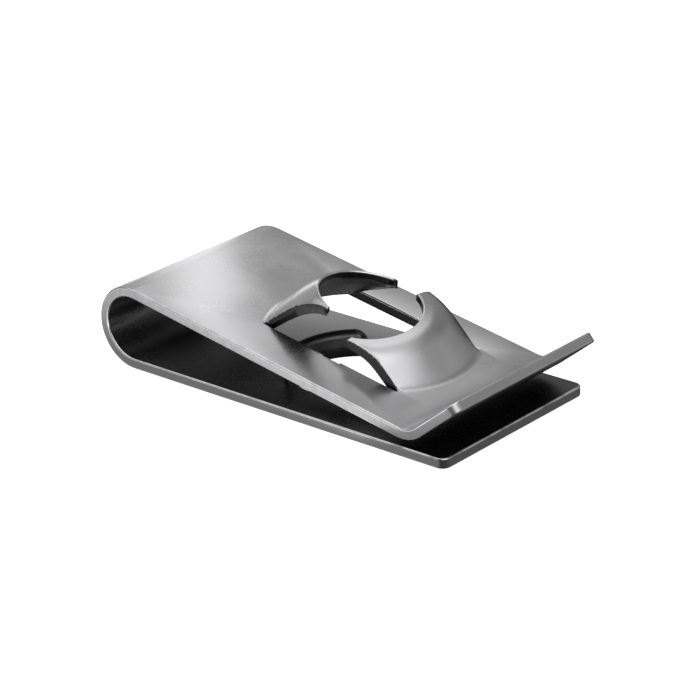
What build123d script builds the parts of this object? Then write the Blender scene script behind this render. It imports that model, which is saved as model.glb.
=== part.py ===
from build123d import *
import os
from math import cos, radians, sin, sqrt, tan

# A U-shaped spring clip that carries one turn of screw thread: a single strip of spring steel,
# folded back on itself. The lower leg lies flat and has the clearance hole for the screw, with
# a half collar that drops into the panel's hole. The upper leg slopes down to the mouth, ends
# in an upturned lip, and has two arched prongs that stand round the screw as a turn of a helix.
#
# Millimetres, +Z up. The origin is the centre of the screw hole on the underside of the lower
# leg, +X points out of the mouth and +Y goes across the strip.

# --- strip and folds -------------------------------------------------------------------------
STRIP_WIDTH = 11.1
SHEET = 0.56
BEND_INSIDE_RADIUS = 1.70
UPPER_SLOPE = 9.65            # degrees that the upper leg falls towards the mouth
LIP_RISE = 38.4               # degrees that the lip stands above level
LIP_INSIDE_RADIUS = 1.4
BEND_TO_HOLE = 10.45          # from the end of the bend to the screw hole, along the lower leg
HOLE_TO_END = 10.35           # from the screw hole to the open end of the lower leg
BEND_TO_THREAD = 11.1         # from the end of the bend to the thread axis, along the upper leg
LIP_DISTANCE = 7.3            # from the thread axis to the corner where the lip turns up
LIP_LENGTH = 3.6
CORNER_RADIUS = 0.5           # the four free corners of the strip, seen square to the sheet
EDGE_ROUND = 0.1              # along the strip's edges and round the top of every cut

# --- screw hole and locating collar on the lower leg -----------------------------------------
HOLE_RADIUS = 3.27            # passes a 1/4 in screw
COLLAR_WALL = 0.36            # at its foot
COLLAR_FLARE = 0.27           # that the inner wall leans out by, which thins the top
COLLAR_HEIGHT = 0.84          # above the upper face of the leg
COLLAR_SPAN = 120             # degrees of the hole's rim, centred on the side of the bend
COLLAR_END_ROUND = 0.75

# --- thread impression on the upper leg ------------------------------------------------------
THREAD_RADIUS = 2.64          # the concave tips, on the root of the thread
FOOT_RADIUS = 5.4             # where the raised cone meets the flat sheet
FOOT_OFFSET = 0.33            # of the foot circle's centre from the thread axis, along +Y
WINDOW_HALF_WIDTH = 3.11      # from the foot circle's centre to the edges of the prongs
WINDOW_MARGIN = 0.8           # flat sheet round the foot, at the roots of the prongs
SLIT_WIDTH = 0.12
FLANK_TO_CREST = 1.1          # from the rim to the corner that rounds over into the crest
CREST_RADIUS = 2.2
UNDERSIDE_SHIFT = 0.12        # of the underside towards the axis, which thins the steep flanks
RIM_SHEET = 0.40              # sheet left at the rims, where it is drawn thinnest
SECTIONS = 12                 # radial sections in each prong
# Each prong's sweep runs from its first to its last angle round the axis. Its rim rises as a
# curve with four control heights. Its tip is given by plan distances from the axis, and its
# crest arches above a straight flank by one height at the first angle and another at the last.
BEND_PRONG_SWEEP = (86, 274)
BEND_PRONG_RIM_START = 2.26
BEND_PRONG_RIM_RISE = 2.20
BEND_PRONG_RIM_SWELL = 3.47
BEND_PRONG_RIM_END = 2.48
BEND_PRONG_ARCH_START = 0.08
BEND_PRONG_ARCH_END = 0.22
BEND_PRONG_TIP_FRONT = 0.50
BEND_PRONG_TIP_BACK = 0.68
BEND_PRONG_FOOT_ROUND = 0.35
LIP_PRONG_SWEEP = (-80, 86)
LIP_PRONG_RIM_START = 1.38
LIP_PRONG_RIM_RISE = 1.48
LIP_PRONG_RIM_SWELL = 1.98
LIP_PRONG_RIM_END = 2.20
LIP_PRONG_ARCH_START = 0.41
LIP_PRONG_ARCH_END = 0.60
LIP_PRONG_TIP = 0.94
LIP_PRONG_FOOT_ROUND = 0.9
HORN_RELIEF_LENGTH = 1.6      # trimmed off the back corner of the bend prong
HORN_RELIEF_DEPTH = 0.48
NOTCH_WIDTH = 1.1
NOTCH_DEPTH = 0.25            # of the piercing relief, past the front edges of the prongs

# --- derived ---------------------------------------------------------------------------------
BEND_OUTSIDE_RADIUS = BEND_INSIDE_RADIUS + SHEET
END_AREA = STRIP_WIDTH * SHEET
EDGE_FRONT = FOOT_OFFSET - WINDOW_HALF_WIDTH
EDGE_BACK = FOOT_OFFSET + WINDOW_HALF_WIDTH
PRONG_WIDTH = EDGE_BACK - EDGE_FRONT
ROOT_REACH = FOOT_RADIUS + WINDOW_MARGIN
SLIT_REACH = sqrt(FOOT_RADIUS**2 - WINDOW_HALF_WIDTH**2)
CUT_DEPTH = 3 * SHEET         # centred on the leg's top face, it stays clear of the lower leg
TALL = 20                     # longer than any height here, for cutters
RIM_OVERRUN = 0.5             # of the raised sheet inside the thread circle, which is bored away
SNUG = 1e-4                   # lengths and areas closer than this are the same
STEEP = 0.05                  # a face is an upright wall when its normal rises less than this
FILLET_FULL = 0.98            # of a straight run that the fillets at its ends may use up


def upper_leg_plane():
    """Plane on the top face of the upper leg, at the thread axis, with X towards the mouth."""
    fall = Vector(cos(radians(UPPER_SLOPE)), 0, -sin(radians(UPPER_SLOPE)))
    square = Vector(sin(radians(UPPER_SLOPE)), 0, cos(radians(UPPER_SLOPE)))
    bend_centre = Vector(-BEND_TO_HOLE, 0, BEND_OUTSIDE_RADIUS)
    origin = bend_centre + square * BEND_OUTSIDE_RADIUS + fall * BEND_TO_THREAD
    return Plane(origin=origin, x_dir=fall, z_dir=square)


def folded_strip():
    """The strip's side profile, drawn along its outer face and given the sheet's thickness."""
    corner = upper_leg_plane().from_local_coords((LIP_DISTANCE, 0, 0))
    lip_end = (
        corner.X + LIP_LENGTH * cos(radians(LIP_RISE)),
        corner.Z + LIP_LENGTH * sin(radians(LIP_RISE)),
    )
    bend_centre = (-BEND_TO_HOLE, BEND_OUTSIDE_RADIUS)
    with BuildPart() as strip:
        with BuildSketch(Plane.XZ):
            with BuildLine():
                Line((HOLE_TO_END, 0), (-BEND_TO_HOLE, 0))
                bend = CenterArc(bend_centre, BEND_OUTSIDE_RADIUS, -90, -(180 + UPPER_SLOPE))
                FilletPolyline(bend @ 1, (corner.X, corner.Z), lip_end, radius=[LIP_INSIDE_RADIUS])
                offset(amount=SHEET, side=Side.RIGHT)
            make_face()
        extrude(amount=STRIP_WIDTH / 2, both=True)
    return strip.part


def dressed_strip(strip):
    """Round the strip's four free corners, then round over its long edges and its ends."""
    ends = strip.faces().filter_by(lambda face: abs(face.area - END_AREA) < SNUG)
    corners = ends.edges().filter_by(lambda edge: abs(edge.length - SHEET) < SNUG)
    strip = fillet(corners, CORNER_RADIUS)
    sides = strip.faces().filter_by(Axis.Y)
    return fillet(sides.edges().filter_by(lambda edge: edge.length > SHEET + SNUG), EDGE_ROUND)


def fillet_share(points, radii):
    """Share of the wanted fillet radii that the straight runs of an open line leave room for."""
    runs = [end - start for start, end in zip(points, points[1:])]
    corners = zip(radii, runs, runs[1:])
    taken = [radius * tan(radians(one.get_angle(two) / 2)) for radius, one, two in corners]
    used = [SNUG + before + after for before, after in zip([0, *taken], [*taken, 0])]
    return min(1, FILLET_FULL * min(run.length / length for run, length in zip(runs, used)))


def section(angle, rim_height, arch, foot_round):
    """Radial section of the raised sheet at one angle round the thread axis."""
    round_axis = Vector(cos(radians(angle)), sin(radians(angle)), 0)
    plane = Plane(origin=(0, 0, 0), x_dir=round_axis, z_dir=round_axis.cross(Vector(0, 0, 1)))
    side_shift = FOOT_OFFSET * sin(radians(angle))
    foot = side_shift + sqrt(FOOT_RADIUS**2 - (FOOT_OFFSET * cos(radians(angle))) ** 2)
    flank_share = (foot - THREAD_RADIUS - FLANK_TO_CREST) / (foot - THREAD_RADIUS)
    crest_corner = rim_height * flank_share + arch
    top = [
        Vector(2 * FOOT_RADIUS, 0),
        Vector(foot, 0),
        Vector(THREAD_RADIUS + FLANK_TO_CREST, crest_corner),
        Vector(THREAD_RADIUS, rim_height),
    ]
    underside = [point - Vector(UNDERSIDE_SHIFT, SHEET) for point in top[:-1]]
    underside.append(top[-1] - Vector(0, RIM_SHEET))
    for line in (top, underside):
        crest, rim = line[-2:]
        line[-1] = rim + (rim - crest) * (RIM_OVERRUN / (crest.X - rim.X))
    above, below = (foot_round, CREST_RADIUS), (foot_round + SHEET, CREST_RADIUS - SHEET)
    share = min(fillet_share(top, above), fillet_share(underside, below))
    with BuildSketch(plane) as sheet:
        with BuildLine():
            upper = FilletPolyline(*top, radius=[share * radius for radius in above])
            lower = FilletPolyline(*underside, radius=[share * radius for radius in below])
            Line(upper @ 0, lower @ 0)
            Line(upper @ 1, lower @ 1)
        make_face()
    return sheet.sketch.faces()[0]


def prong(sweep, rim, arch, foot_round):
    """One arched prong in the upper leg's own frame: sections lofted round the thread axis."""
    rim_line = Bezier(*[(step, height) for step, height in enumerate(rim)])
    sections = []
    for step in range(SECTIONS + 1):
        share = step / SECTIONS
        angle = sweep[0] + share * (sweep[1] - sweep[0])
        arch_here = arch[0] + share * (arch[1] - arch[0])
        sections.append(section(angle, (rim_line @ share).Y, arch_here, foot_round))
    return loft(sections) - Cylinder(THREAD_RADIUS, TALL)


def blank(*corners):
    """Upright block on a plan outline in the upper leg's own frame."""
    return extrude(make_face(Polyline(*corners, close=True)), TALL / 2, both=True)


def bend_prong():
    """Prong on the side of the bend, whose back corner is slimmed to a horn."""
    raised = prong(
        BEND_PRONG_SWEEP,
        (BEND_PRONG_RIM_START, BEND_PRONG_RIM_RISE, BEND_PRONG_RIM_SWELL, BEND_PRONG_RIM_END),
        (BEND_PRONG_ARCH_START, BEND_PRONG_ARCH_END),
        BEND_PRONG_FOOT_ROUND,
    )
    outline = blank(
        (-ROOT_REACH, EDGE_FRONT),
        (-BEND_PRONG_TIP_FRONT, EDGE_FRONT),
        (-BEND_PRONG_TIP_BACK, EDGE_BACK - HORN_RELIEF_DEPTH),
        (-BEND_PRONG_TIP_BACK - HORN_RELIEF_LENGTH, EDGE_BACK),
        (-ROOT_REACH, EDGE_BACK),
    )
    return raised & outline


def lip_prong():
    """Prong on the side of the lip."""
    raised = prong(
        LIP_PRONG_SWEEP,
        (LIP_PRONG_RIM_START, LIP_PRONG_RIM_RISE, LIP_PRONG_RIM_SWELL, LIP_PRONG_RIM_END),
        (LIP_PRONG_ARCH_START, LIP_PRONG_ARCH_END),
        LIP_PRONG_FOOT_ROUND,
    )
    outline = blank(
        (ROOT_REACH, EDGE_FRONT),
        (LIP_PRONG_TIP, EDGE_FRONT),
        (LIP_PRONG_TIP, EDGE_BACK),
        (ROOT_REACH, EDGE_BACK),
    )
    return raised & outline


def rounded_top(raised):
    """Round over the edges where a raised sheet's top side meets its cut walls."""
    tops = raised.faces().filter_by(lambda face: face.normal_at().Z > STEEP)
    walls = raised.faces().filter_by(lambda face: abs(face.normal_at().Z) < STEEP)
    free_walls = walls.filter_by(lambda face: abs(face.center().X) < ROOT_REACH - SNUG)
    cut_edges = tops.edges() & free_walls.edges()
    shortest = min(edge.length for edge in cut_edges)
    return fillet(cut_edges, min(EDGE_ROUND, shortest / 2))


def window(reach, width):
    """Cutter through the upper leg, centred between the prongs' edges, in the leg's own frame."""
    return Pos(0, (EDGE_BACK + EDGE_FRONT) / 2, 0) * Box(2 * reach, width, CUT_DEPTH)


def pierced_leg(strip, leg):
    """Pierce the window with its slits and notch, round its edges and clear the roots."""
    notch = Box(NOTCH_WIDTH, 2 * NOTCH_DEPTH, CUT_DEPTH)
    notch = Pos((LIP_PRONG_TIP - BEND_PRONG_TIP_FRONT) / 2, EDGE_FRONT, 0) * notch
    opening = window(SLIT_REACH, PRONG_WIDTH + 2 * SLIT_WIDTH) + notch
    pierced = strip - leg.location * opening
    cut_edges = pierced.edges() - strip.edges()
    rim = cut_edges.filter_by(lambda edge: abs(leg.to_local_coords(edge.center()).Z) < SNUG)
    return fillet(rim, EDGE_ROUND) - leg.location * window(ROOT_REACH, PRONG_WIDTH)


def shoulders():
    """Flat sheet that closes the rounded edges of the prongs beyond the ends of the slits."""
    shoulder = Box(ROOT_REACH - SLIT_REACH, 2 * EDGE_ROUND, 2 * EDGE_ROUND)
    middle = (ROOT_REACH + SLIT_REACH) / 2
    spots = [(x, y) for x in (-middle, middle) for y in (EDGE_FRONT, EDGE_BACK)]
    return [Pos(x, y, -EDGE_ROUND) * shoulder for x, y in spots]


def threaded_leg(strip):
    """Set the two raised prongs in the window of the upper leg."""
    leg = upper_leg_plane()
    pieces = [rounded_top(bend_prong()), rounded_top(lip_prong()), *shoulders()]
    return pierced_leg(strip, leg) + [leg.location * piece for piece in pieces]


def collar():
    """Half collar drawn up round the bend side of the screw hole, with rounded ends."""
    foot, top = HOLE_RADIUS, SHEET + COLLAR_HEIGHT
    outside = HOLE_RADIUS + COLLAR_WALL
    wall = Polyline(
        (foot, 0), (foot, SHEET), (foot + COLLAR_FLARE, top), (outside, top), (outside, 0), close=True
    )
    ring = revolve(Plane.XZ * make_face(wall), Axis.Z, revolution_arc=COLLAR_SPAN)
    ends = ring.edges().group_by(Axis.Z)[-1].filter_by(GeomType.LINE)
    return Rot(0, 0, 180 - COLLAR_SPAN / 2) * fillet(ends, COLLAR_END_ROUND)


def spring_clip():
    """The whole clip: strip folded and dressed, thread formed, screw hole bored, collar drawn."""
    strip = threaded_leg(dressed_strip(folded_strip()))
    strip -= Cylinder(HOLE_RADIUS, 3 * SHEET)
    return strip + collar()


os.makedirs("parts", exist_ok=True)
export_step(spring_clip(), "parts/spring_clip.step")
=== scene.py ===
import math

import bpy
from bpy.props import FloatProperty, FloatVectorProperty, PointerProperty
from mathutils import Matrix, Vector


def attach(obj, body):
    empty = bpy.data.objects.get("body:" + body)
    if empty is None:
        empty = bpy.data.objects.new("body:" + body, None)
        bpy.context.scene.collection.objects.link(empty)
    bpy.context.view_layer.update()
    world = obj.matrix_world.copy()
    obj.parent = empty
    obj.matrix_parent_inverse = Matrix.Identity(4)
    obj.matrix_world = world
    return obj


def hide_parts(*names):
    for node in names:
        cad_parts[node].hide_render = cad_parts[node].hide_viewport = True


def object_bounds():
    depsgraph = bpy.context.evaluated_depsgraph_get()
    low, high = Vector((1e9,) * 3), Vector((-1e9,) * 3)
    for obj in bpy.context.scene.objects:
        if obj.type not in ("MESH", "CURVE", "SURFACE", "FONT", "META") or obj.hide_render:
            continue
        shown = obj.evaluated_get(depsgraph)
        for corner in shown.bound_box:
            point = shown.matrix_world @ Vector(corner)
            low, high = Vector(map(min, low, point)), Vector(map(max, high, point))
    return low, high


bl_info = {
    "name": "Spring clip nut",
    "version": (1, 0, 0),
    "blender": (4, 5, 0),
    "location": "3D View > Sidebar > Spring clip nut",
    "description": "Builds a folded spring clip nut with its satin steel finish and a small studio",
    "category": "Object",
}

NODE = "spring_clip"
PIECE = "spring_clip_steel"
MM = 0.001

# Where each kind of surface lies. Lengths are in millimetres, and the origin is the centre of the
# screw hole on the underside of the lower leg, with X out of the mouth.
UPPER_SLOPE = 9.65  # degrees that the upper leg falls towards the mouth
LEG_TOP = 0.56  # height of the lower leg's upper face
PUNCH_LENGTH = 14.5  # of the zone round the screw axis that holds the window and both prongs
PUNCH_WIDTH = 9.0  # of the same zone, across the strip
COLLAR_FOOT = LEG_TOP + 0.01  # just above the lower leg
COLLAR_CEILING = 1.60  # over the collar and under the prongs
COLLAR_REACH = 5.0  # from the screw axis, and past the collar
END_ZONE = 9.5  # X past which an upright wall is one of the strip's two ends
MOUTH_SHADE = (5.0, 8.0)  # X where the painted shade on the lower leg's upper face begins, and where it is full
SHADE_BAND = 0.1  # the same painted shade lies within this height of the lower leg's upper face

# How a facet is told by the way it faces, as parts of its unit normal.
WALL_LEAN = 0.40  # along the upper leg's normal, the most that a punched wall has
SIDE_FACING = 0.97  # along Y, the least that a side of the strip has
END_FACING = 0.70  # along X, the least that an end of the strip has
COLLAR_SHADE = 0.85  # share of a punched wall's painted shade that the collar has
SHORTEST_EDGE = 0.001  # millimetres, so that a turn is never divided by nothing

# Noise in the steel: stretch along X, Y and Z, cells for each metre, detail, roughness.
CLOUD = ((1.0, 1.0, 1.0), 220.0, 3.0, 0.55)
SPECK = ((1.0, 1.0, 1.0), 5200.0, 2.0, 0.6)
TEAR = ((1.0, 1.0, 0.12), 9000.0, 3.0, 0.6)
RUB = ((1.0, 1.0, 1.0), 900.0, 3.0, 0.6)
ROLLING_STRETCH = (0.03, 1.0, 0.35)  # of the rolling lines, which run along X
ROLLING_DETAIL = (3.0, 0.6)  # detail and roughness of the same lines

# Smooth steps in the steel: from, to, result at the start, result at the end.
CLOUD_SHADE = (0.3, 0.7, 0.90, 1.0)
SHELTER = (0.10, 0.55, 0.0, 1.0)  # from a face deep in the fold, where shade is painted, to an open one
# Rubbing on the rounded edges is partly wear and partly a painted highlight.
RUBBING_AND_HIGHLIGHT = (0.35, 0.6, 0.35, 1.0)
CLOUD_ROUGHNESS = (0.3, 0.7, -0.03, 0.04)  # added to the finish's own roughness
SPECK_ROUGHNESS = (0.35, 0.7, -0.01, 0.02)  # added to both
TEAR_ROUGHNESS = (0.3, 0.7, 0.34, 0.50)
RUBBED_ROUGHNESS = 0.22
SHELTER_SAMPLES = 8  # rays that feel how sheltered a face is

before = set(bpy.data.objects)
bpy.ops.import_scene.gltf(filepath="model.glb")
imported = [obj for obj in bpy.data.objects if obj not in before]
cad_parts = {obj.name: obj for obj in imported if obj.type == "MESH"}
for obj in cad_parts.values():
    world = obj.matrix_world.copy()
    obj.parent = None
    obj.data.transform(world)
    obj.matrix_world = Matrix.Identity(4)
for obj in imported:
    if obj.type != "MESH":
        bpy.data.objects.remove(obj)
cad_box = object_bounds()


# ---------------------------------------------------------------------------------------------
# Settings
# ---------------------------------------------------------------------------------------------


class ClipSheet(bpy.types.PropertyGroup):
    """How the visible sheet is made from the solid."""

    weld: FloatProperty(
        name="Weld distance",
        description="Corners of the solid's loose facets closer than this become one",
        default=0.0002 * MM,
        min=0.0,
        subtype="DISTANCE",
        unit="LENGTH",
        precision=6,
    )
    tight_radius: FloatProperty(
        name="Rounded edge radius",
        description="Facets that turn more tightly than this belong to a rounded edge",
        default=0.2 * MM,
        min=0.0,
        subtype="DISTANCE",
        unit="LENGTH",
        precision=6,
    )


class SteelFinish(bpy.types.PropertyGroup):
    """Colours and texture of the hardened spring steel, with painted shade and painted highlights.
    """

    steel: FloatVectorProperty(
        name="Rolled face",
        description="Reflected colour of the rolled faces",
        subtype="COLOR",
        size=3,
        default=(0.56, 0.56, 0.57),
        min=0.0,
        max=1.0,
    )
    sheared: FloatVectorProperty(
        name="Sheared wall",
        description="Reflected colour of the walls that the die cut",
        subtype="COLOR",
        size=3,
        default=(0.42, 0.42, 0.43),
        min=0.0,
        max=1.0,
    )
    # Painted shade: the pierced walls, the undersides round them and the collar are painted this
    # dark colour in place of the shade that falls on them.
    pierced_shade: FloatVectorProperty(
        name="Pierced wall",
        description="Reflected colour of the oiled walls that the piercing punch left",
        subtype="COLOR",
        size=3,
        default=(0.08, 0.08, 0.082),
        min=0.0,
        max=1.0,
    )
    # Painted shade: this dark colour stands in for the shade deep in the fold and on the lower
    # leg's upper face at the mouth end.
    painted_shade: FloatVectorProperty(
        name="Oil film",
        description="Reflected colour where oil stays, in the fold and at the mouth",
        subtype="COLOR",
        size=3,
        default=(0.10, 0.10, 0.102),
        min=0.0,
        max=1.0,
    )
    # Reach of the painted shade: faces this close to other faces get the dark colour above.
    painted_shade_reach: FloatProperty(
        name="Oil film reach",
        description="Faces closer together than this hold the oil",
        default=5.0 * MM,
        min=0.0,
        subtype="DISTANCE",
        unit="LENGTH",
        precision=6,
    )
    # Partly wear, partly painted highlight: rounded edges are painted this bright colour.
    wear_and_highlight: FloatVectorProperty(
        name="Worn edge",
        description="Reflected colour of edges rubbed bright",
        subtype="COLOR",
        size=3,
        default=(0.72, 0.72, 0.73),
        min=0.0,
        max=1.0,
    )
    roughness: FloatProperty(
        name="Roughness",
        description="Roughness of the rolled faces",
        default=0.27,
        min=0.0,
        max=1.0,
        subtype="FACTOR",
    )
    grain: FloatProperty(
        name="Grain width",
        description="Width of the rolling lines",
        default=0.05 * MM,
        min=0.0,
        subtype="DISTANCE",
        unit="LENGTH",
        precision=6,
    )
    grain_depth: FloatProperty(
        name="Grain depth",
        description="Depth of the rolling lines",
        default=0.0002 * MM,
        min=0.0,
        subtype="DISTANCE",
        unit="LENGTH",
        precision=6,
    )


class Studio(bpy.types.PropertyGroup):
    """Floor, lamps and camera round the clip."""

    floor_size: FloatProperty(
        name="Floor size",
        description="Side of the square floor",
        default=1.2,
        min=0.01,
        subtype="DISTANCE",
        unit="LENGTH",
    )
    floor_colour: FloatVectorProperty(
        name="Floor",
        description="Colour of the pale floor",
        subtype="COLOR",
        size=3,
        default=(0.93, 0.93, 0.93),
        min=0.0,
        max=1.0,
    )
    camera_azimuth: FloatProperty(
        name="Camera azimuth",
        description="Turn of the camera round the clip from the front",
        default=math.radians(41.892),
        subtype="ANGLE",
    )
    camera_elevation: FloatProperty(
        name="Camera elevation",
        description="Height of the camera above level",
        default=math.radians(22.994),
        subtype="ANGLE",
    )
    camera_roll: FloatProperty(
        name="Camera roll",
        description="Turn of the camera about its own axis",
        default=math.radians(-2.379),
        subtype="ANGLE",
    )
    camera_distance: FloatProperty(
        name="Camera distance",
        description="From the camera to the point it looks at",
        default=143.593 * MM,
        min=0.0,
        subtype="DISTANCE",
        unit="LENGTH",
    )
    camera_target: FloatVectorProperty(
        name="Camera target",
        description="Point in the middle of the picture",
        subtype="XYZ",
        unit="LENGTH",
        size=3,
        default=(-1.1915 * MM, 0.9768 * MM, 1.11 * MM),
        precision=6,
    )
    camera_lens: FloatProperty(
        name="Lens",
        description="Focal length of the lens in millimetres",
        default=143.752,
        min=1.0,
    )


# ---------------------------------------------------------------------------------------------
# Node helpers
# ---------------------------------------------------------------------------------------------


def add_node(tree, kind, place, **settings):
    """One node with its settings."""
    node = tree.nodes.new(kind)
    node.location = place
    for name, value in settings.items():
        setattr(node, name, value)
    return node


def feed(tree, socket, value):
    """Link a socket to another one, or give it a number or a colour."""
    if isinstance(value, bpy.types.NodeSocket):
        tree.links.new(value, socket)
    elif socket.type == "RGBA":
        socket.default_value = (*value, 1.0)
    else:
        socket.default_value = value


def math_node(tree, place, operation, *values):
    """A Math node whose inputs are sockets or numbers. Returns its output."""
    node = add_node(tree, "ShaderNodeMath", place, operation=operation)
    for socket, value in zip(node.inputs, values):
        feed(tree, socket, value)
    return node.outputs[0]


def blend_node(tree, place, amount, first, second, kind="RGBA"):
    """A Mix node between two colours or two numbers. Returns its output."""
    node = add_node(tree, "ShaderNodeMix", place, data_type=kind)
    shown = [socket for socket in node.inputs if socket.enabled]
    for socket, value in zip(shown, (amount, first, second)):
        feed(tree, socket, value)
    return next(socket for socket in node.outputs if socket.enabled)


def noise_node(tree, place, spot, stretch, scale, detail, roughness):
    """Noise on stretched coordinates. Scale is in cells for each metre. Returns its output."""
    mapping = add_node(tree, "ShaderNodeMapping", (place[0] - 180, place[1]))
    mapping.inputs["Scale"].default_value = stretch
    tree.links.new(spot, mapping.inputs["Vector"])
    noise = add_node(tree, "ShaderNodeTexNoise", place)
    noise.inputs["Scale"].default_value = scale
    noise.inputs["Detail"].default_value = detail
    noise.inputs["Roughness"].default_value = roughness
    tree.links.new(mapping.outputs[0], noise.inputs["Vector"])
    return noise.outputs["Fac"]


def ramp_node(tree, place, value, low, high, out_low=0.0, out_high=1.0):
    """Smooth step from out_low to out_high as value goes from low to high. Returns its output."""
    node = add_node(tree, "ShaderNodeMapRange", place, interpolation_type="SMOOTHSTEP")
    tree.links.new(value, node.inputs["Value"])
    node.inputs["From Min"].default_value = low
    node.inputs["From Max"].default_value = high
    node.inputs["To Min"].default_value = out_low
    node.inputs["To Max"].default_value = out_high
    return node.outputs["Result"]


# ---------------------------------------------------------------------------------------------
# Material
# ---------------------------------------------------------------------------------------------


def facet_mark(tree, place, name):
    """Output of a mark that was stored on the facets."""
    return add_node(tree, "ShaderNodeAttribute", place, attribute_name=name).outputs["Fac"]


def free_of_painted_shade(tree, spot, reach):
    """1 on open steel and 0 where shade is painted: deep in the fold and on the lower leg's mouth
    end.
    """
    # Painted shade: the more sheltered a face is within the fold, the darker it is painted.
    shelter = add_node(tree, "ShaderNodeAmbientOcclusion", (-700, 900), samples=SHELTER_SAMPLES)
    shelter.inputs["Distance"].default_value = reach
    open_fold = ramp_node(tree, (-450, 900), shelter.outputs["AO"], *SHELTER)
    axes = add_node(tree, "ShaderNodeSeparateXYZ", (-1200, 1200))
    tree.links.new(spot, axes.inputs[0])
    # Painted shade on the lower leg's upper face towards the mouth end.
    start, full = (distance * MM for distance in MOUTH_SHADE)
    short_of_mouth = ramp_node(tree, (-900, 1300), axes.outputs["X"], start, full, 1.0, 0.0)
    above = math_node(tree, (-900, 1150), "SUBTRACT", axes.outputs["Z"], LEG_TOP * MM)
    away = math_node(tree, (-700, 1150), "ABSOLUTE", above)
    off_leg = math_node(tree, (-500, 1150), "GREATER_THAN", away, SHADE_BAND * MM)
    unshaded = math_node(tree, (-300, 1200), "MAXIMUM", short_of_mouth, off_leg)
    return math_node(tree, (-150, 1000), "MULTIPLY", open_fold, unshaded)


def steel_colour(tree, finish, spot, cloud, wall, rubbed_and_highlit):
    """Rolled faces and pierced walls with painted shade, sheared walls, edges painted worn and
    highlit.
    """
    rolled = add_node(tree, "ShaderNodeHueSaturation", (-450, -200))
    rolled.inputs["Color"].default_value = (*finish.steel, 1.0)
    tree.links.new(ramp_node(tree, (-700, -300), cloud, *CLOUD_SHADE), rolled.inputs["Value"])
    # Painted shade in the fold and on the lower leg's upper face at the mouth end.
    unshaded = free_of_painted_shade(tree, spot, finish.painted_shade_reach)
    # Painted shade on the pierced walls, the undersides round them and the collar.
    pierced_shade = facet_mark(tree, (-1400, 900), "pierced_wall_shade")
    skin = blend_node(tree, (-300, 300), unshaded, finish.painted_shade, rolled.outputs[0])
    walls = blend_node(tree, (-300, 600), pierced_shade, finish.sheared, finish.pierced_shade)
    faces = blend_node(tree, (-200, 0), wall, skin, walls)
    # Painted highlight and wear on the rounded edges, over all the rest.
    return blend_node(tree, (0, 200), rubbed_and_highlit, faces, finish.wear_and_highlight)


def steel_roughness(tree, finish, spot, cloud, tear, wall, rubbed_and_highlit):
    """Satin on the rolled faces with fine specks, torn walls and smooth rubbed edges."""
    low, high, least, most = CLOUD_ROUGHNESS
    base = finish.roughness
    satin = ramp_node(tree, (-700, -100), cloud, low, high, base + least, base + most)
    speck = noise_node(tree, (-1000, -600), spot, *SPECK)
    fine = ramp_node(tree, (-700, -600), speck, *SPECK_ROUGHNESS)
    rolled = math_node(tree, (-450, -500), "ADD", satin, fine)
    torn = ramp_node(tree, (-700, -900), tear, *TEAR_ROUGHNESS)
    faces = blend_node(tree, (-200, -400), wall, rolled, torn, kind="FLOAT")
    return blend_node(tree, (0, -300), rubbed_and_highlit, faces, RUBBED_ROUGHNESS, kind="FLOAT")


def steel_grain(tree, finish, spot, tear, wall):
    """Bump of the rolling lines, and of the tears on the cut walls."""
    per_metre = 1.0 / finish.grain
    lines = noise_node(tree, (-1000, 0), spot, ROLLING_STRETCH, per_metre, *ROLLING_DETAIL)
    bump = add_node(tree, "ShaderNodeBump", (600, -600))
    bump.inputs["Strength"].default_value = 1.0
    bump.inputs["Distance"].default_value = finish.grain_depth
    surface = blend_node(tree, (0, -700), wall, lines, tear, kind="FLOAT")
    tree.links.new(surface, bump.inputs["Height"])
    return bump.outputs[0]


def spring_steel(finish):
    """Satin rolled steel with cut walls, edges painted worn and highlit, and painted shade in the
    fold.
    """
    material = bpy.data.materials.new("satin spring steel")
    material.use_nodes = True
    tree = material.node_tree
    tree.nodes.clear()
    output = add_node(tree, "ShaderNodeOutputMaterial", (1500, 0))
    shader = add_node(tree, "ShaderNodeBsdfPrincipled", (1200, 0))
    shader.inputs["Metallic"].default_value = 1.0
    tree.links.new(shader.outputs[0], output.inputs["Surface"])
    spot = add_node(tree, "ShaderNodeTexCoord", (-1400, 0)).outputs["Object"]
    edge = facet_mark(tree, (-1400, 500), "rounded_edge")
    wall = facet_mark(tree, (-1400, 700), "sheared_wall")
    cloud = noise_node(tree, (-1000, -300), spot, *CLOUD)
    tear = noise_node(tree, (-1000, -900), spot, *TEAR)
    rub = noise_node(tree, (-1000, 300), spot, *RUB)
    # Rounded edges painted bright: partly wear, partly a painted highlight.
    wear_and_highlight = ramp_node(tree, (-700, 300), rub, *RUBBING_AND_HIGHLIGHT)
    rubbed_and_highlit = math_node(tree, (-450, 400), "MULTIPLY", edge, wear_and_highlight)
    colour = steel_colour(tree, finish, spot, cloud, wall, rubbed_and_highlit)
    rough = steel_roughness(tree, finish, spot, cloud, tear, wall, rubbed_and_highlit)
    tree.links.new(colour, shader.inputs["Base Color"])
    tree.links.new(rough, shader.inputs["Roughness"])
    tree.links.new(steel_grain(tree, finish, spot, tear, wall), shader.inputs["Normal"])
    return material


# ---------------------------------------------------------------------------------------------
# The clip
# ---------------------------------------------------------------------------------------------


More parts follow.
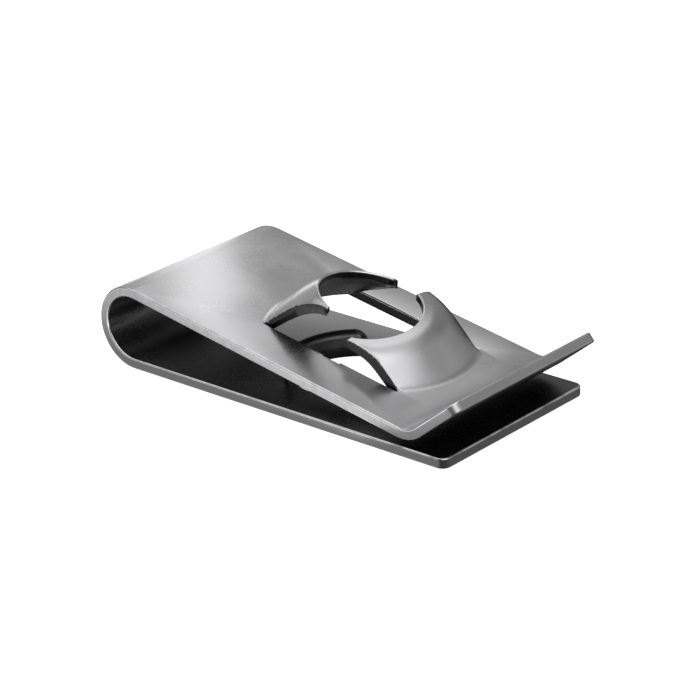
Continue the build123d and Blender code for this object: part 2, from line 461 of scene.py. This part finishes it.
def tightest_turn(mesh, normals, facet):
    """How fast the surface turns along a facet's sides, at most, in radians for each metre."""
    corners = list(facet.loop_indices)
    turn = 0.0
    for first, second in zip(corners, corners[1:] + corners[:1]):
        start = mesh.vertices[mesh.loops[first].vertex_index].co
        end = mesh.vertices[mesh.loops[second].vertex_index].co
        length = max((end - start).length, SHORTEST_EDGE * MM)
        turn = max(turn, normals[first].angle(normals[second], 0.0) / length)
    return turn


def is_sheared(facet):
    """True for the walls that the shear cut: both sides of the strip and its two ends."""
    side = abs(facet.normal.y) > SIDE_FACING
    end = abs(facet.normal.x) > END_FACING and facet.center.x > END_ZONE * MM
    return side or end


def is_pierced(facet):
    """True for the walls that the punch cut, and for the undersides of the sheet round them."""
    centre = facet.center
    along = abs(centre.x) < PUNCH_LENGTH / 2 * MM
    across = abs(centre.y) < PUNCH_WIDTH / 2 * MM
    slope = math.radians(UPPER_SLOPE)
    lean = facet.normal.dot(Vector((math.sin(slope), 0.0, math.cos(slope))))
    underside = lean < 0 and centre.z > COLLAR_CEILING * MM
    return along and across and (abs(lean) < WALL_LEAN or underside)


def is_collar(facet):
    """True for the collar that stands on the lower leg round the screw hole."""
    centre = facet.center
    upright = COLLAR_FOOT * MM < centre.z < COLLAR_CEILING * MM
    return upright and centre.xy.length < COLLAR_REACH * MM


def mark_facets(mesh, tight_radius):
    """Store true corner normals; mark rounded edges, cut walls and the pierced walls' painted
    shade.
    """
    mesh.attributes.new("surface_normal", "FLOAT_VECTOR", "CORNER")
    for name in ("rounded_edge", "sheared_wall", "pierced_wall_shade"):
        mesh.attributes.new(name, "FLOAT", "FACE")
    normals = [corner.vector.copy() for corner in mesh.corner_normals]
    true_normal = mesh.attributes["surface_normal"]
    rounded = mesh.attributes["rounded_edge"]
    sheared = mesh.attributes["sheared_wall"]
    pierced_shade = mesh.attributes["pierced_wall_shade"]
    for loop, normal in enumerate(normals):
        true_normal.data[loop].vector = normal
    for row, facet in enumerate(mesh.polygons):
        tight = tightest_turn(mesh, normals, facet) > 1.0 / tight_radius
        collar = is_collar(facet)
        punched = not tight and is_pierced(facet)
        cut = not tight and is_sheared(facet)
        rounded.data[row].value = float(tight and not collar)
        sheared.data[row].value = float(collar or punched or cut)
        # The pierced mark carries painted shade; the collar gets a share of it.
        pierced_shade.data[row].value = COLLAR_SHADE if collar else float(punched)


def sheet_tree():
    """Node tree that welds loose facets, gives them their true normals and their material."""
    tree = bpy.data.node_groups.new("dressed sheet", "GeometryNodeTree")
    face = tree.interface
    face.new_socket("Facets", in_out="INPUT", socket_type="NodeSocketGeometry")
    weld = face.new_socket("Weld distance", in_out="INPUT", socket_type="NodeSocketFloat")
    weld.subtype = "DISTANCE"
    face.new_socket("Finish", in_out="INPUT", socket_type="NodeSocketMaterial")
    face.new_socket("Sheet", in_out="OUTPUT", socket_type="NodeSocketGeometry")
    given = add_node(tree, "NodeGroupInput", (0, 0))
    welded = add_node(tree, "GeometryNodeMergeByDistance", (200, 0))
    normal = add_node(
        tree, "GeometryNodeInputNamedAttribute", (200, -200), data_type="FLOAT_VECTOR"
    )
    normal.inputs["Name"].default_value = "surface_normal"
    smooth = add_node(tree, "GeometryNodeSetShadeSmooth", (400, 0))
    turned = add_node(tree, "GeometryNodeSetMeshNormal", (600, 0), mode="FREE", domain="CORNER")
    whole = add_node(tree, "GeometryNodeRealizeInstances", (800, 0))
    coated = add_node(tree, "GeometryNodeSetMaterial", (1000, 0))
    result = add_node(tree, "NodeGroupOutput", (1200, 0))
    link = tree.links.new
    link(given.outputs["Facets"], welded.inputs["Geometry"])
    link(given.outputs["Weld distance"], welded.inputs["Distance"])
    link(welded.outputs["Geometry"], smooth.inputs["Geometry"])
    link(smooth.outputs["Geometry"], turned.inputs["Mesh"])
    link(normal.outputs["Attribute"], turned.inputs["Custom Normal"])
    link(turned.outputs["Mesh"], whole.inputs["Geometry"])
    link(whole.outputs["Geometry"], coated.inputs["Geometry"])
    link(given.outputs["Finish"], coated.inputs["Material"])
    link(coated.outputs["Geometry"], result.inputs["Sheet"])
    return tree


def socket_key(tree, name):
    """Identifier of a tree's named input."""
    for item in tree.interface.items_tree:
        if item.item_type == "SOCKET" and item.in_out == "INPUT" and item.name == name:
            return item.identifier
    raise RuntimeError(f"the tree has no input named {name}")


def plain_mesh(obj, name):
    """The object's evaluated shape as a plain mesh of its own."""
    shown = obj.evaluated_get(bpy.context.evaluated_depsgraph_get())
    mesh = bpy.data.meshes.new_from_object(shown)
    mesh.name = name
    return mesh


class SPRING_CLIP_OT_sheet(bpy.types.Operator):
    """Make the folded steel sheet of the clip"""

    bl_idname = "spring_clip.sheet"
    bl_label = "Spring clip sheet"

    def execute(self, context):
        sheet = context.scene.clip_sheet
        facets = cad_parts[NODE].data.copy()
        mark_facets(facets, sheet.tight_radius)
        facets.materials.clear()
        piece = bpy.data.objects.new(PIECE, facets)
        context.scene.collection.objects.link(piece)
        tree = sheet_tree()
        dress = piece.modifiers.new("dressed sheet", "NODES")
        dress.node_group = tree
        dress[socket_key(tree, "Weld distance")] = sheet.weld
        dress[socket_key(tree, "Finish")] = spring_steel(context.scene.clip_finish)
        mesh = plain_mesh(piece, PIECE)
        piece.modifiers.clear()
        piece.data = mesh
        if not mesh.polygons:
            raise RuntimeError("the sheet came out empty")
        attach(piece, "root")
        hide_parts(NODE)
        return {"FINISHED"}


# ---------------------------------------------------------------------------------------------
# Studio
# ---------------------------------------------------------------------------------------------


PAPER_ROUGHNESS = 0.9
PAPER_SHINE = 0.1
PAPER_GLOW = 0.85
FLOOR_GAP = 0.01  # from the clip down to the floor
GLOW_GAP = 0.05  # from the clip down to the lamp in the floor
CAMERA_NEAR, CAMERA_FAR = 5, 5000  # all that lies between them is seen

# Narrow lamps beyond the bend, one above another: name, upper end and lower end (X, Y, Z), width,
# brightness. They stand so near that they light only a band of the bend and of the upper leg.
STRIP_LAMPS = (
    ("upper strip lamp", (-17.6, 14.0, 23.8), (-24.1, 14.9, 17.6), 4.6, 1.2),
    ("lower strip lamp", (-24.5, 14.7, 17.6), (-33.4, 18.8, 5.6), 4.6, 1.1),
    ("foot strip lamp", (-33.4, 18.8, 5.6), (-31.0, 15.0, -16.0), 8.0, 1.1),
)

# Sheet of light in the floor before the clip: its middle (X, Y), length and width, turn in
# degrees, brightness. It lights the upper leg's front wall more than the lower leg's.
FLOOR_GLOW = ((-9.0, -17.3), (31.0, 16.0), 11.3, 1.3)

# Soft patches of light on the studio's walls: name, direction from the clip, brightness, angle
# from its middle that is fully lit, angle where it ends. They add to the light of a dark corner.
DARK_CORNER = 0.06
SOFT_PATCHES = (
    ("open ceiling", (0.00, 0.00, 1.00), 0.24, 75, 100),
    ("softbox before the mouth", (0.58, -0.27, 0.77), 1.40, 14, 44),
    ("ceiling lamp", (0.00, 0.08, 1.00), 0.80, 10, 36),
    ("lamp over the bend", (-0.31, 0.49, 0.82), 1.10, 7, 19),
    ("faint wall behind the bend", (-0.45, 0.69, 0.57), 0.12, 12, 35),
    ("wall beyond the bend", (-0.93, 0.25, 0.26), 0.36, 12, 38),
    ("upper wall at the back", (0.58, 0.58, 0.57), 0.25, 8, 30),
    ("lower wall at the back", (0.34, 0.92, 0.17), 0.20, 8, 26),
    ("softbox at the front left", (-0.42, -0.49, 0.77), 0.90, 12, 35),
    ("glow from below at the front left", (-0.60, -0.69, -0.39), 0.40, 10, 45),
    ("glow from below at the back right", (0.61, 0.68, -0.39), 0.15, 10, 35),
)


def floor_material(colour):
    """Matt white paper that also glows, so that it stays pale."""
    material = bpy.data.materials.new("floor paper")
    material.use_nodes = True
    tree = material.node_tree
    shader = tree.nodes["Principled BSDF"]
    shader.inputs["Base Color"].default_value = (*colour, 1.0)
    shader.inputs["Roughness"].default_value = PAPER_ROUGHNESS
    shader.inputs["Specular IOR Level"].default_value = PAPER_SHINE
    shader.inputs["Emission Color"].default_value = (1.0, 1.0, 1.0, 1.0)
    shader.inputs["Emission Strength"].default_value = PAPER_GLOW
    return material


def make_floor(studio):
    """Square floor just under the clip. The steel doesn't mirror it, and lamps shine through it."""
    half = studio.floor_size / 2
    mesh = bpy.data.meshes.new("floor")
    corners = [(-half, -half, 0), (half, -half, 0), (half, half, 0), (-half, half, 0)]
    mesh.from_pydata(corners, [], [(0, 1, 2, 3)])
    mesh.materials.append(floor_material(studio.floor_colour))
    floor = bpy.data.objects.new("floor", mesh)
    floor.location.z = cad_box[0].z - FLOOR_GAP * MM
    floor.visible_glossy = False
    floor.visible_shadow = False
    bpy.context.scene.collection.objects.link(floor)


def add_soft_lamp(name, width, length, brightness):
    """Rectangular lamp as bright as its surface looks, and not seen itself. Returns it."""
    light = bpy.data.lights.new(name, "AREA")
    light.shape = "RECTANGLE"
    light.size, light.size_y = width, length
    light.energy = math.pi * width * length * brightness
    lamp = bpy.data.objects.new(name, light)
    lamp.visible_camera = False
    bpy.context.scene.collection.objects.link(lamp)
    return lamp


def add_strip_lamp(name, upper, lower, width, brightness):
    """Narrow lamp from its upper end to its lower end, turned towards the clip."""
    upper, lower = Vector(upper) * MM, Vector(lower) * MM
    run = upper - lower
    along = run.normalized()
    middle = (upper + lower) / 2
    out = (middle - middle.dot(along) * along).normalized()
    place = Matrix((along.cross(out), along, out)).transposed().to_4x4()
    place.translation = middle
    add_soft_lamp(name, width * MM, run.length, brightness).matrix_world = place


def add_floor_glow(middle, size, turn, brightness):
    """Lamp that lies in the floor and shines up at the clip's front walls."""
    lamp = add_soft_lamp("floor glow", size[0] * MM, size[1] * MM, brightness)
    lamp.location = (middle[0] * MM, middle[1] * MM, -GLOW_GAP * MM)
    lamp.rotation_euler = (math.pi, 0.0, math.radians(turn))


def studio_walls():
    """World light: a dark room with soft patches of light on its walls."""
    world = bpy.data.worlds.new("studio walls")
    bpy.context.scene.world = world
    world.use_nodes = True
    tree = world.node_tree
    tree.nodes.clear()
    output = add_node(tree, "ShaderNodeOutputWorld", (1200, 0))
    glow = add_node(tree, "ShaderNodeBackground", (1000, 0))
    tree.links.new(glow.outputs[0], output.inputs["Surface"])
    look = add_node(tree, "ShaderNodeTexCoord", (-400, 0)).outputs["Generated"]
    total = DARK_CORNER
    for row, (name, direction, brightness, lit, edge) in enumerate(SOFT_PATCHES):
        height = -260 * row
        aim = add_node(tree, "ShaderNodeVectorMath", (0, height), operation="DOT_PRODUCT")
        aim.label = name
        aim.inputs[1].default_value = Vector(direction).normalized()
        tree.links.new(look, aim.inputs[0])
        inner, outer = math.cos(math.radians(lit)), math.cos(math.radians(edge))
        patch = ramp_node(tree, (200, height), aim.outputs["Value"], outer, inner, 0.0, brightness)
        total = math_node(tree, (450, height), "ADD", patch, total)
    tree.links.new(total, glow.inputs["Strength"])


def make_camera(studio):
    """Camera looking down on the clip from the front right."""
    azimuth, elevation = studio.camera_azimuth, studio.camera_elevation
    back = Vector(
        (
            math.sin(azimuth) * math.cos(elevation),
            -math.cos(azimuth) * math.cos(elevation),
            math.sin(elevation),
        )
    )
    level = Vector((math.cos(azimuth), math.sin(azimuth), 0.0))
    upright = back.cross(level)
    cos_roll, sin_roll = math.cos(studio.camera_roll), math.sin(studio.camera_roll)
    right = cos_roll * level + sin_roll * upright
    up = cos_roll * upright - sin_roll * level
    place = Matrix((right, up, back)).transposed().to_4x4()
    place.translation = Vector(studio.camera_target) + back * studio.camera_distance
    data = bpy.data.cameras.new("camera")
    data.lens = studio.camera_lens
    data.clip_start, data.clip_end = CAMERA_NEAR * MM, CAMERA_FAR * MM
    camera = bpy.data.objects.new("camera", data)
    camera.matrix_world = place
    bpy.context.scene.collection.objects.link(camera)
    bpy.context.scene.camera = camera


class SPRING_CLIP_OT_studio(bpy.types.Operator):
    """Set the pale floor, the soft lamps and the camera round the clip"""

    bl_idname = "spring_clip.studio"
    bl_label = "Studio"

    def execute(self, context):
        studio = context.scene.clip_studio
        make_floor(studio)
        for lamp in STRIP_LAMPS:
            add_strip_lamp(*lamp)
        add_floor_glow(*FLOOR_GLOW)
        studio_walls()
        make_camera(studio)
        context.scene.view_settings.view_transform = "Standard"
        return {"FINISHED"}


# ---------------------------------------------------------------------------------------------
# Panel and start
# ---------------------------------------------------------------------------------------------


class SPRING_CLIP_PT_panel(bpy.types.Panel):
    """Settings and steps of the spring clip nut"""

    bl_idname = "SPRING_CLIP_PT_panel"
    bl_label = "Spring clip nut"
    bl_space_type = "VIEW_3D"
    bl_region_type = "UI"
    bl_category = "Spring clip nut"

    def draw(self, context):
        for group, operator in (
            (context.scene.clip_sheet, SPRING_CLIP_OT_sheet),
            (context.scene.clip_finish, None),
            (context.scene.clip_studio, SPRING_CLIP_OT_studio),
        ):
            box = self.layout.box()
            for name in group.bl_rna.properties.keys():
                if name not in ("rna_type", "name"):
                    box.prop(group, name)
            if operator:
                box.operator(operator.bl_idname)


CLASSES = (
    ClipSheet,
    SteelFinish,
    Studio,
    SPRING_CLIP_OT_sheet,
    SPRING_CLIP_OT_studio,
    SPRING_CLIP_PT_panel,
)


def register():
    for item in CLASSES:
        bpy.utils.register_class(item)
    bpy.types.Scene.clip_sheet = PointerProperty(type=ClipSheet)
    bpy.types.Scene.clip_finish = PointerProperty(type=SteelFinish)
    bpy.types.Scene.clip_studio = PointerProperty(type=Studio)


def unregister():
    del bpy.types.Scene.clip_studio
    del bpy.types.Scene.clip_finish
    del bpy.types.Scene.clip_sheet
    for item in reversed(CLASSES):
        bpy.utils.unregister_class(item)


def main():
    register()
    bpy.ops.spring_clip.sheet()
    bpy.ops.spring_clip.studio()


if __name__ == "__main__":
    main()
